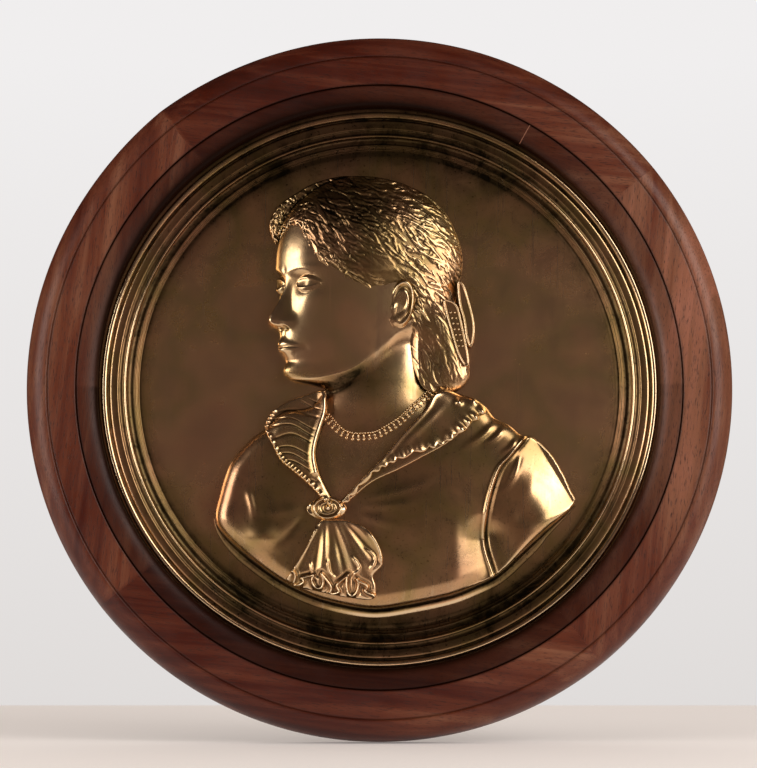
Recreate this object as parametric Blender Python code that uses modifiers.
"""A round bronze portrait relief in a turned mahogany frame, made to hang on a wall. Metres, +Z up.

The relief faces -Y. The origin is on the back of the frame, at its top, where it hangs. Every piece is
built lying down, with its front up, under an empty that stands it against the wall.
"""

import math

import bmesh
import bpy
import numpy as np

# Frame: the widths of its three mouldings run from the outside in
FRAME_RADIUS = 0.300
FRAME_THICKNESS = 0.0365
ROUND_WIDTH = 0.0192
ROUND_STRAIGHT = 0.014
ROUND_STEP = 0.0015
FLAT_BAND_WIDTH = 0.0243
FLAT_BAND_STEP = 0.0015
INNER_BAND_WIDTH = 0.0186
INNER_BAND_DROP = 0.0075
LIP_THICKNESS = 0.0058
BACK_CHAMFER = 0.004
FIRST_JOINT_ANGLE = math.radians(51.5)
QUARTERS = ("frame_right", "frame_lower", "frame_left", "frame_upper")
JOINT_GAP = 0.0003
TURNED_STEPS = 52

# Medallion: its rises are measured from the flat field
LAP_BEHIND_LIP = 0.0041
REBATE_CLEARANCE = 0.0015
CLEARANCE = 0.0003
RIM_WIDTH = 0.0320
RIM_RISE = 0.0102
FLANGE_RISE = 0.0080
FIELD_THICKNESS = 0.008
BEAD_RADIUS = 0.0028
BEAD_TO_LIP = 0.0015
MEDALLION_CHAMFER = 0.003
HOLLOW_STEPS = 2
BEAD_STEPS = 3

# Bust: the share of the field's radius that one unit of its drawing takes, and its depth
BUST_UNIT_SHARE = 1 / 204.4
HEAD_FLATTENING = 0.36
BUST_SEAT = 0.004
MOST_SHIFT = 0.42
PINCH_PASSES = 3
BUST_CELL_UNITS = {"across": 4.7, "sides": 7.0, "head": 4.2, "body": 6.0}

# The mount is on the flat back of the frame
MOUNT_SHARE_OF_BACK = 0.5

BRONZE = (0.225, 0.128, 0.050, 1.0)
MAHOGANY = (0.105, 0.031, 0.014, 1.0)

# Worked out from the sizes above
lip_radius = FRAME_RADIUS - ROUND_WIDTH - FLAT_BAND_WIDTH - INNER_BAND_WIDTH
lip_front = FRAME_THICKNESS - ROUND_STEP - FLAT_BAND_STEP - INNER_BAND_DROP
rebate_depth = lip_front - LIP_THICKNESS
flange_radius = lip_radius + LAP_BEHIND_LIP
rebate_radius = flange_radius + REBATE_CLEARANCE
medallion_drop = REBATE_CLEARANCE - CLEARANCE
flange_front = rebate_depth - CLEARANCE
field_front = flange_front - FLANGE_RISE
field_back = field_front - FIELD_THICKNESS
bead_centre = lip_radius - BEAD_TO_LIP - BEAD_RADIUS
field_radius = bead_centre + BEAD_RADIUS - RIM_WIDTH
back_flat = FRAME_RADIUS - BACK_CHAMFER - rebate_radius
mount_radius = rebate_radius + MOUNT_SHARE_OF_BACK * back_flat
unit = field_radius * BUST_UNIT_SHARE


def clear_scene():
    for obj in list(bpy.data.objects):
        bpy.data.objects.remove(obj, do_unlink=True)


def new_collection(name):
    collection = bpy.data.collections.new(name)
    bpy.context.scene.collection.children.link(collection)
    return collection


def material(name, colour, metallic, roughness):
    made = bpy.data.materials.new(name)
    made.use_nodes = True
    shader = made.node_tree.nodes["Principled BSDF"]
    shader.inputs["Base Color"].default_value = colour
    shader.inputs["Metallic"].default_value = metallic
    shader.inputs["Roughness"].default_value = roughness
    made.diffuse_color = colour
    return made


def mesh_object(name, mesh, collection, parent=None, location=(0, 0, 0)):
    obj = bpy.data.objects.new(name, mesh)
    collection.objects.link(obj)
    obj.parent = parent
    obj.location = location
    return obj


def turned(name, profile, collection, parent, closed, location=(0, 0, 0)):
    """A profile of (radius, height) points turned round the z axis, its outer side running down."""
    points = [(radius, 0, height) for radius, height in profile]
    edges = [(i, i + 1) for i in range(len(points) - 1)]
    if closed:
        edges.append((len(points) - 1, 0))
    mesh = bpy.data.meshes.new(name)
    mesh.from_pydata(points, edges, [])
    obj = mesh_object(name, mesh, collection, parent, location)
    screw = obj.modifiers.new("Turned", "SCREW")
    screw.steps = TURNED_STEPS
    screw.render_steps = TURNED_STEPS
    screw.use_merge_vertices = True
    screw.merge_threshold = 0.00001
    return obj


def arc(centre, radii, start, end, steps):
    """Points on an ellipse's arc, from one angle in degrees to another."""
    angles = np.radians(np.linspace(start, end, steps + 1))
    return [(centre[0] + radii[0] * math.cos(a), centre[1] + radii[1] * math.sin(a)) for a in angles]


def frame_profile():
    """Quarter-round outside, flat band, soft inner band, lip, and the rebate behind the lip."""
    round_radius = FRAME_RADIUS - ROUND_WIDTH
    band_front = FRAME_THICKNESS - ROUND_STEP
    inner_radius = round_radius - FLAT_BAND_WIDTH
    inner_front = band_front - FLAT_BAND_STEP
    outer = arc((round_radius, ROUND_STRAIGHT), (ROUND_WIDTH, FRAME_THICKNESS - ROUND_STRAIGHT), 90, 0, 4)
    inner = arc((inner_radius, lip_front), (INNER_BAND_WIDTH, INNER_BAND_DROP), 90, 180, 3)
    back = [
        (FRAME_RADIUS, BACK_CHAMFER),
        (FRAME_RADIUS - BACK_CHAMFER, 0),
        (rebate_radius, 0),
        (rebate_radius, rebate_depth),
        (lip_radius, rebate_depth),
    ]
    bands = [(inner_radius, band_front), (round_radius, band_front)]
    return outer + back + inner[::-1] + bands


def frame_quarters(collection, cutters, parent, wood):
    """Four equal quarters of the turned ring, each cut out by a square block with a corner at the centre."""
    reach = 2 * FRAME_RADIUS
    for number, name in enumerate(QUARTERS):
        quarter_ring = turned(name, frame_profile(), collection, parent, closed=True)
        quarter_ring.data.materials.append(wood)
        middle = math.radians(90) - FIRST_JOINT_ANGLE - math.radians(45 + 90 * number)
        bpy.ops.mesh.primitive_cube_add(size=reach)
        block = bpy.context.object
        block.name = name + "_block"
        shift = reach / 2 + JOINT_GAP / 2
        corner_to_middle = math.hypot(shift, shift)
        block.parent = parent
        block.location = (corner_to_middle * math.cos(middle), corner_to_middle * math.sin(middle), 0)
        block.rotation_euler = (0, 0, middle - math.radians(45))
        hide_helper(block, cutters)
        cut = quarter_ring.modifiers.new("Quarter", "BOOLEAN")
        cut.operation = "INTERSECT"
        cut.object = block


def hide_helper(obj, collection):
    for other in list(obj.users_collection):
        other.objects.unlink(obj)
    collection.objects.link(obj)
    obj.hide_render = True
    obj.display_type = "WIRE"


def medallion_profile():
    """From the middle of the field out over the rim's hollow, fascia and bead, then the flange and the back."""
    ridge = field_radius + RIM_WIDTH * 0.35
    fascia = field_radius + RIM_WIDTH * 0.56
    groove = bead_centre - BEAD_RADIUS * 1.64
    hollow_foot = field_radius + RIM_WIDTH * 0.135
    ridge_rise = RIM_RISE * 0.66
    foot_rise = RIM_RISE * 0.24
    hollow = arc((hollow_foot, ridge_rise), (ridge - hollow_foot, ridge_rise - foot_rise), -90, 0, HOLLOW_STEPS)
    rises = [(0.0, 0.0), (field_radius, 0.0), (hollow_foot, RIM_RISE * 0.18)]
    rises += hollow
    rises += [(fascia, RIM_RISE * 0.58), (fascia, RIM_RISE * 0.74), (groove, RIM_RISE * 0.76)]
    rises += [(bead_centre - BEAD_RADIUS, RIM_RISE - BEAD_RADIUS * 1.3)]
    rises += arc((bead_centre, RIM_RISE - BEAD_RADIUS), (BEAD_RADIUS, BEAD_RADIUS), 180, 0, BEAD_STEPS)
    front = [(radius, field_front + rise) for radius, rise in rises]
    back = [
        (bead_centre + BEAD_RADIUS, flange_front),
        (flange_radius, flange_front),
        (flange_radius, field_back + MEDALLION_CHAMFER),
        (flange_radius - MEDALLION_CHAMFER, field_back),
        (0.0, field_back),
    ]
    return front + back


def spline(points, closed=False, pieces=4):
    """A smooth line through the points, each span a Catmull-Rom curve in so many pieces."""
    p = np.asarray(points, float)
    if closed:
        q = np.vstack([p[-1:], p, p[:2]])
    else:
        q = np.vstack([2 * p[:1] - p[1:2], p, 2 * p[-1:] - p[-2:-1]])
    t = np.linspace(0, 1, pieces, endpoint=False)[:, None]
    a, b, c, d = (q[k:len(q) - 3 + k, None] for k in range(4))
    cubic = b + (c - a) / 2 * t + (a - 2.5 * b + 2 * c - d / 2) * t**2 + (1.5 * (b - c) + (d - a) / 2) * t**3
    line = cubic.reshape(-1, 2)
    return line if closed else np.vstack([line, p[-1:]])


def distance_to(u, v, line, closed=False):
    """How far each point is from the line, and how far along it, as a share, the nearest place is."""
    starts = line if closed else line[:-1]
    ends = np.roll(line, -1, axis=0) if closed else line[1:]
    lengths = np.hypot(*(ends - starts).T)
    passed = np.concatenate([[0], np.cumsum(lengths)])
    nearest = np.full(u.shape, np.inf)
    share = np.zeros(u.shape)
    for (u0, v0), (u1, v1), length, before in zip(starts, ends, lengths, passed):
        t = ((u - u0) * (u1 - u0) + (v - v0) * (v1 - v0)) / max(length * length, 1e-12)
        t = np.clip(t, 0, 1)
        away = np.hypot(u - u0 - t * (u1 - u0), v - v0 - t * (v1 - v0))
        share = np.where(away < nearest, (before + t * length) / passed[-1], share)
        nearest = np.minimum(away, nearest)
    return nearest, share


def depth_inside(u, v, loop):
    """Distance in from a closed outline, negative outside it."""
    crossed = np.zeros(u.shape, bool)
    for (u0, v0), (u1, v1) in zip(loop, np.roll(loop, -1, axis=0)):
        if v0 != v1:
            crossed ^= ((v0 > v) != (v1 > v)) & (u < (u1 - u0) * (v - v0) / (v1 - v0) + u0)
    away, _ = distance_to(u, v, loop, True)
    return np.where(crossed, away, -away)


def rounded(depth, width):
    """A quarter-round edge: 0 at the outline, 1 from its width inwards."""
    return np.sqrt(1 - (1 - np.clip(depth / width, 0, 1)) ** 2)


def ramp(x, low, high):
    """Smoothly 0 below low and 1 above high."""
    t = np.clip((x - low) / (high - low), 0, 1)
    return t * t * (3 - 2 * t)


def swell(u, v, centre, size, turn=0):
    """A soft hump of height 1, with its two radii turned by an angle in degrees."""
    c, s = math.cos(math.radians(turn)), math.sin(math.radians(turn))
    a = ((u - centre[0]) * c + (v - centre[1]) * s) / size[0]
    b = ((v - centre[1]) * c - (u - centre[0]) * s) / size[1]
    return np.exp(-(a * a) - b * b)


def fold(u, v, points, width):
    """A ridge of height 1 along a smooth line, fading at both ends."""
    away, share = distance_to(u, v, spline(points))
    return np.exp(-((away / width) ** 2)) * ramp(share, 0, 0.3) * ramp(1 - share, 0, 0.5)


def by_height(y, *pairs):
    """A smooth curve through (height, value) pairs that are listed from the lowest up."""
    line = spline(pairs, pieces=8)
    return np.interp(y, line[:, 0], line[:, 1])


# The head in the round, before it is pressed flat: real millimetres, with the chin at height 0
HEAD_UNITS = (0.83, 0.79)
HEAD_CENTRE_UNITS = (-10, 3)
HEAD_TURN = math.radians(25)
CROWN_HEIGHT = 221


def features(side, y):
    """How far the face stands forward of the plain head: nose, eyes, brow, cheeks, mouth and chin."""
    m = np.abs(side)
    nose = by_height(y, (52, 0), (59, 1), (66, 16), (72, 18), (90, 9.5), (108, 2), (118, 0))
    out = nose * np.exp(-((m / by_height(y, (52, 10), (72, 9), (100, 6), (118, 7))) ** 2))
    out += 6 * swell(m, y, (13, 67), (6, 7))
    out -= 8.5 * swell(m, y, (26, 111), (15, 10.5))
    out += 7.5 * np.sqrt(np.clip(1 - ((m - 31) / 16) ** 2 - ((y - 107) / 9) ** 2, 0, 1))
    out += 2.5 * swell(m, y, (28, 123), (24, 5)) + 3.4 * swell(m, y, (44, 90), (18, 13))
    out += 4 * swell(m, y, (0, 42), (26, 20)) + 3 * swell(m, y, (0, 44.5), (20, 3.5))
    out += 3.5 * swell(m, y, (0, 35.5), (17, 3.5)) - 3 * swell(m, y, (0, 40), (24, 1.8))
    return out - 3.2 * swell(m, y, (0, 24), (20, 5)) + 4.5 * swell(m, y, (0, 12), (17, 10))


def head_section(angle, y):
    """Forward and sideways places on the head's outline, seen from above, at a height over the chin."""
    front = by_height(y, (-5, 60), (3, 79), (12, 87), (60, 92), (118, 93), (150, 93), (180, 84), (205, 61), (221, 5))
    back = by_height(y, (-5, 18), (30, 40), (70, 75), (95, 87), (120, 94), (150, 95), (175, 87), (205, 54), (221, 5))
    side = by_height(y, (-5, 32), (10, 45), (40, 55), (80, 65), (120, 71), (160, 73), (180, 68), (205, 46), (221, 5))
    length = np.where(np.cos(angle) > 0, front, back)
    power = by_height(y, (0, 2.1), (110, 2.5), (170, 2.2), (221, 2))
    radius = (np.abs(np.cos(angle) / length) ** power + np.abs(np.sin(angle) / side) ** power) ** (-1 / power)
    turned_by = np.degrees(np.abs(angle))
    jaw = by_height(turned_by, (0, 0), (40, 8), (65, 21), (85, 36), (105, 50), (125, 56), (215, 56))
    throat = by_height(y, (-70, 64), (-25, 54), (0, 48), (30, 43), (60, 42), (221, 42))
    set_back = by_height(y, (-70, 2), (-25, 0), (0, -6), (30, -13), (60, -16), (221, -16))
    towards = np.cos(angle) * set_back
    neck = towards + np.sqrt(throat**2 - set_back**2 + towards**2)
    radius = neck + (radius - neck) * ramp(y, jaw - 7, jaw + 3)
    forward, sideways = radius * np.cos(angle), radius * np.sin(angle)
    return forward + features(sideways, y) * ramp(np.cos(angle), 0, 0.35), sideways


def head_relief(us, vs):
    """Height of the head and neck over the field on a grid, and the outline of the face's left edge."""
    angles = np.radians(np.linspace(-100, 205, 900))
    heights = (vs - HEAD_CENTRE_UNITS[1]) / HEAD_UNITS[1]
    forward, sideways = head_section(angles[None, :], np.clip(heights, -70, CROWN_HEIGHT)[:, None])
    across = HEAD_CENTRE_UNITS[0] + HEAD_UNITS[0] * (sideways * math.sin(HEAD_TURN) - forward * math.cos(HEAD_TURN))
    towards = HEAD_UNITS[0] * (forward * math.sin(HEAD_TURN) + sideways * math.cos(HEAD_TURN))
    relief = np.full((len(vs), len(us)), -5.0)
    for row in np.flatnonzero((heights > -70) & (heights < CROWN_HEIGHT)):
        spans = np.searchsorted(us, across[row])
        for end in (0, 1):
            place = np.clip(spans - end, 0, len(us) - 1)
            near = np.abs(us[place] - across[row]) < 2.0
            np.maximum.at(relief[row], place[near], towards[row][near] * HEAD_FLATTENING)
    face = (heights > -25) & (heights < 180)
    edge = np.column_stack([across.min(axis=1)[face], vs[face]])
    return relief, np.vstack([edge, [(NECK_BACK, edge[-1, 1]), (NECK_BACK, edge[0, 1])]])


# The bust's outlines, in units from the middle of the field
BODY = [(-97, -34), (-118, -52), (-134, -78), (-139, -108), (-128, -130), (-88, -161), (-38, -182), (26, -183),
        (80, -168), (123, -137), (160, -104), (165, -98), (154, -69), (131, -42), (110, -31), (80, -8), (40, 6),
        (-46, -2), (-62, -16), (-82, -20)]
HAIR_EDGE = [(-90, 122), (-97, 138), (-88, 156), (-60, 175), (-26, 183), (10, 180), (44, 163), (65, 135),
             (71, 105), (66, 82)]
HAIR_LINE = [(52, 60), (30, 52), (30, 74), (8, 84), (-23, 89), (-48, 104), (-65, 119), (-68, 133), (-80, 142)]
NAPE = [(20, 60), (40, 78), (66, 84), (69, 45), (77, 16), (70, -2), (48, -4), (34, 6), (25, 26)]
RIBBON = [(69, 88), (76, 74), (83, 50), (80, 36), (72, 20), (58, 34), (58, 66)]
ARMHOLE = [(126, -40), (112, -61), (98, -84), (91, -125), (98, -162)]
OPENING = [(-46, -2), (-45, -21), (-54, -57), (-50, -82), (-38, -98), (-17, -80), (17, -43), (41, -17),
           (50, 4), (0, 20)]
LEFT_COLLAR = [(-45, -2), (-45, -22), (-54, -57), (-46, -84), (-40, -101), (-62, -81), (-84, -62), (-97, -36),
               (-82, -19), (-56, -15)]
RIGHT_COLLAR = [(46, -8), (17, -43), (-17, -80), (-36, -101), (-6, -81), (36, -53), (72, -34), (92, -18), (72, -6)]
JABOT = [(-48, -114), (-66, -144), (-84, -161), (-62, -172), (-30, -175), (-5, -177), (-6, -157), (2, -149),
         (-6, -126), (-26, -112)]
NECKLACE = [(-43, -27), (-22, -41), (6, -37), (30, -18), (46, 3)]
KNOT = (-43, -105)
NECK_BACK = 34
EAR = (20, 71)
DRESS_FOLDS = [((100, -28), (84, -42), (66, -54)), ((116, -42), (106, -52), (98, -62)),
               ((-26, -100), (10, -102), (40, -96)), ((-56, -110), (-80, -128), (-100, -140)),
               ((128, -118), (122, -134), (112, -146))]


def dress(u, v, depth):
    """The draped shoulders and chest, the sleeve set into its armhole, and the broad folds."""
    h = 3.5 + 14 * rounded(depth, 62)
    h += 6.0 * swell(u, v, (46, -124), (44, 40), 15) + 4.5 * swell(u, v, (-98, -118), (30, 36), -30)
    h += 2.5 * swell(u, v, (72, -148), (16, 22), -20)
    armhole = spline(ARMHOLE)
    past = (u - np.interp(-v, -armhole[:, 1], armhole[:, 0])) * 0.9
    h += ramp(past, -1, 6) * (7.0 * swell(u, v, (132, -90), (30, 42), 28) - 3.0)
    h -= 3.0 * np.exp(-((past - 2) ** 2) / 14) - 2.4 * np.exp(-((past + 6) ** 2) / 18)
    for points in DRESS_FOLDS:
        h += 1.6 * fold(u, v, points, 4)
    return h


def hair(u, v, skull, depth):
    """A cap that stands a little over the skull and runs in long locks round the ear to the knot."""
    edge, _ = distance_to(u, v, spline(HAIR_EDGE))
    most = 3 + 25 * rounded(edge, 58)
    h = np.clip(skull + 2.2 + ramp(depth, 0, 10), 2 + 12 * rounded(edge, 24), most)
    round_ear = np.hypot(u - 30, (v - 55) * 0.9)
    return h + 0.9 * np.cos(round_ear * math.tau / 12) * ramp(edge, 0, 8)


def collar(u, v, depth, base, rise):
    """A turned-down collar that stands on the dress, its edge rounded."""
    return base + 1.8 + rise * rounded(depth, 9)


def bust_relief(us, vs):
    """Height of the bust over the field on a grid, and each grid point's depth inside its outline."""
    u, v = np.meshgrid(us, vs)
    skull, face_loop = head_relief(us, vs)
    loops = {name: spline(points, True) for name, points in {
        "body": BODY, "hair": HAIR_EDGE + HAIR_LINE, "nape": NAPE, "ribbon": RIBBON, "opening": OPENING,
        "left": LEFT_COLLAR, "right": RIGHT_COLLAR, "jabot": JABOT}.items()}
    loops["face"] = face_loop
    depth = {name: depth_inside(u, v, loop) for name, loop in loops.items()}
    cloth = dress(u, v, depth["body"])
    chest = 10 + 2 * swell(u, v, (-20, -75), (30, 30))
    skin = np.where(depth["opening"] > -2, np.maximum(skull * ramp(v, -60, -25), chest), skull)
    h = np.where((depth["body"] > 0) & (depth["opening"] < 0.5), np.maximum(cloth, skull * (v > 0)), skin)
    beads, _ = distance_to(u, v, spline(NECKLACE))
    h += 1.6 * np.exp(-((beads / 4.5) ** 2)) * (depth["opening"] > 0)
    h = np.where(depth["hair"] > 0, np.maximum(h, hair(u, v, skull, depth["hair"])), h)
    nape = 3 + 11 * rounded(depth["nape"], 24) + 4 * ramp(v, 20, 80)
    nape += 0.9 * np.cos((u + v) * math.tau / 22)
    h = np.where(depth["nape"] > 0, np.maximum(h, nape), h)
    bow = 5 + 4 * rounded(depth["ribbon"], 8) + 2.5 * fold(u, v, [(66, 86), (68, 52), (75, 24)], 5)
    h = np.where(depth["ribbon"] > 0, np.maximum(h, bow), h)
    ring = np.hypot((u - EAR[0] - 0.12 * (v - EAR[1])) / 9, (v - EAR[1]) / 17.5)
    h = np.where(ring < 1.3, np.maximum(skull, 0) + 5 * np.exp(-(((ring - 1) / 0.3) ** 2)) + 1.6 * (ring < 1), h)
    pleats = np.cos((v + 20 + 0.12 * (u + 70)) * math.tau / 15) * ramp(depth["left"], 0, 6)
    left = collar(u, v, depth["left"], np.maximum(cloth, 9.5), 3.0) + 1.2 * pleats
    h = np.where(depth["left"] > 0, left, h)
    h = np.where(depth["right"] > 0, collar(u, v, depth["right"], cloth, 2.4), h)
    fan = np.arctan2(u - KNOT[0], KNOT[1] + 6 - v)
    flutes = np.cos(fan * 9) * ramp(KNOT[1] - v, 6, 30)
    h = np.where(depth["jabot"] > 0, collar(u, v, depth["jabot"], cloth, 2.4) + 1.5 * flutes, h)
    knot = np.hypot((u - KNOT[0]) / 1.25, v - KNOT[1])
    brooch = np.maximum(cloth, 14) + 2 + 3.4 * np.exp(-(((knot - 8) / 4) ** 2)) + 3 * np.exp(-((knot / 3.5) ** 2))
    h = np.where(knot < 15, brooch, h)
    whole = np.max([depth[name] for name in ("body", "hair", "nape", "ribbon", "face")], axis=0)
    return h, whole


def spaced(low, high, cell):
    return np.linspace(low, high, max(2, round((high - low) / cell)) + 1)


def bust_mesh():
    """A grid over the bust, raised to its relief, its rim drawn onto the outline, and closed flat behind."""
    cell = BUST_CELL_UNITS
    us = np.concatenate([spaced(-150, -98, cell["sides"])[:-1], spaced(-98, 92, cell["across"])[:-1],
                         spaced(92, 176, cell["sides"])])
    vs = np.concatenate([spaced(-194, -6, cell["body"])[:-1], spaced(-6, 194, cell["head"])])
    relief, depth = bust_relief(us, vs)
    u, v = np.meshgrid(us, vs)
    slope_v, slope_u = np.gradient(depth, vs, us)
    steepness = np.maximum(np.hypot(slope_u, slope_v), 0.3)
    cell_u, cell_v = np.meshgrid(np.gradient(us), np.gradient(vs))
    half_cell = 0.5 * np.maximum(cell_u, cell_v)
    close = np.abs(depth) < half_cell
    shift_u, shift_v = (-depth * slope / steepness**2 for slope in (slope_u, slope_v))
    u = u + close * np.clip(shift_u, -MOST_SHIFT * cell_u, MOST_SHIFT * cell_u)
    v = v + close * np.clip(shift_v, -MOST_SHIFT * cell_v, MOST_SHIFT * cell_v)
    relief = np.where(depth < half_cell, -0.4, np.maximum(relief, 1.2))
    relief = np.where(depth < -half_cell, -1.5, relief)
    within = depth >= half_cell
    kept = within[1:, 1:] | within[1:, :-1] | within[:-1, 1:] | within[:-1, :-1]
    for _ in range(PINCH_PASSES):
        rising = kept[1:, 1:] & kept[:-1, :-1] & ~kept[1:, :-1] & ~kept[:-1, 1:]
        falling = kept[1:, :-1] & kept[:-1, 1:] & ~kept[1:, 1:] & ~kept[:-1, :-1]
        kept[1:, :-1] |= rising
        kept[1:, 1:] |= falling
    mesh = bmesh.new()
    bmesh.ops.create_grid(mesh, x_segments=len(us) - 1, y_segments=len(vs) - 1, size=0.5)
    bare = []
    for face in mesh.faces:
        middle = face.calc_center_median()
        column = math.floor((middle.x + 0.5) * (len(us) - 1))
        row = math.floor((middle.y + 0.5) * (len(vs) - 1))
        if not kept[row, column]:
            bare.append(face)
    for vert in mesh.verts:
        column = round((vert.co.x + 0.5) * (len(us) - 1))
        row = round((vert.co.y + 0.5) * (len(vs) - 1))
        vert.co = (u[row, column] * unit, v[row, column] * unit, relief[row, column] * unit)
    bmesh.ops.delete(mesh, geom=bare, context="FACES")
    front = mesh.faces[:]
    raised = bmesh.ops.extrude_face_region(mesh, geom=front, use_keep_orig=True)
    for item in raised["geom"]:
        if isinstance(item, bmesh.types.BMVert):
            item.co.z = -BUST_SEAT
    bmesh.ops.recalc_face_normals(mesh, faces=mesh.faces)
    made = bpy.data.meshes.new("bust")
    mesh.to_mesh(made)
    mesh.free()
    return made


def medallion(collection, cutters, parent, bronze):
    """The turned disc with its rim, and the bust raised from its field: one casting."""
    disc = turned("medallion", medallion_profile(), collection, parent, False, (0, -medallion_drop, 0))
    disc.data.materials.append(bronze)
    bust = mesh_object("bust", bust_mesh(), cutters, parent, (0, -medallion_drop, field_front))
    hide_helper(bust, cutters)
    join = disc.modifiers.new("Bust", "BOOLEAN")
    join.operation = "UNION"
    join.object = bust


def main():
    clear_scene()
    collection = new_collection("portrait_relief")
    cutters = new_collection("helpers")
    wall = bpy.data.objects.new("wall_side", None)
    collection.objects.link(wall)
    wall.location = (0, 0, -mount_radius)
    wall.rotation_euler = (math.radians(90), 0, 0)
    frame_quarters(collection, cutters, wall, material("oiled_mahogany", MAHOGANY, 0.0, 0.42))
    medallion(collection, cutters, wall, material("patinated_bronze", BRONZE, 1.0, 0.30))


main()
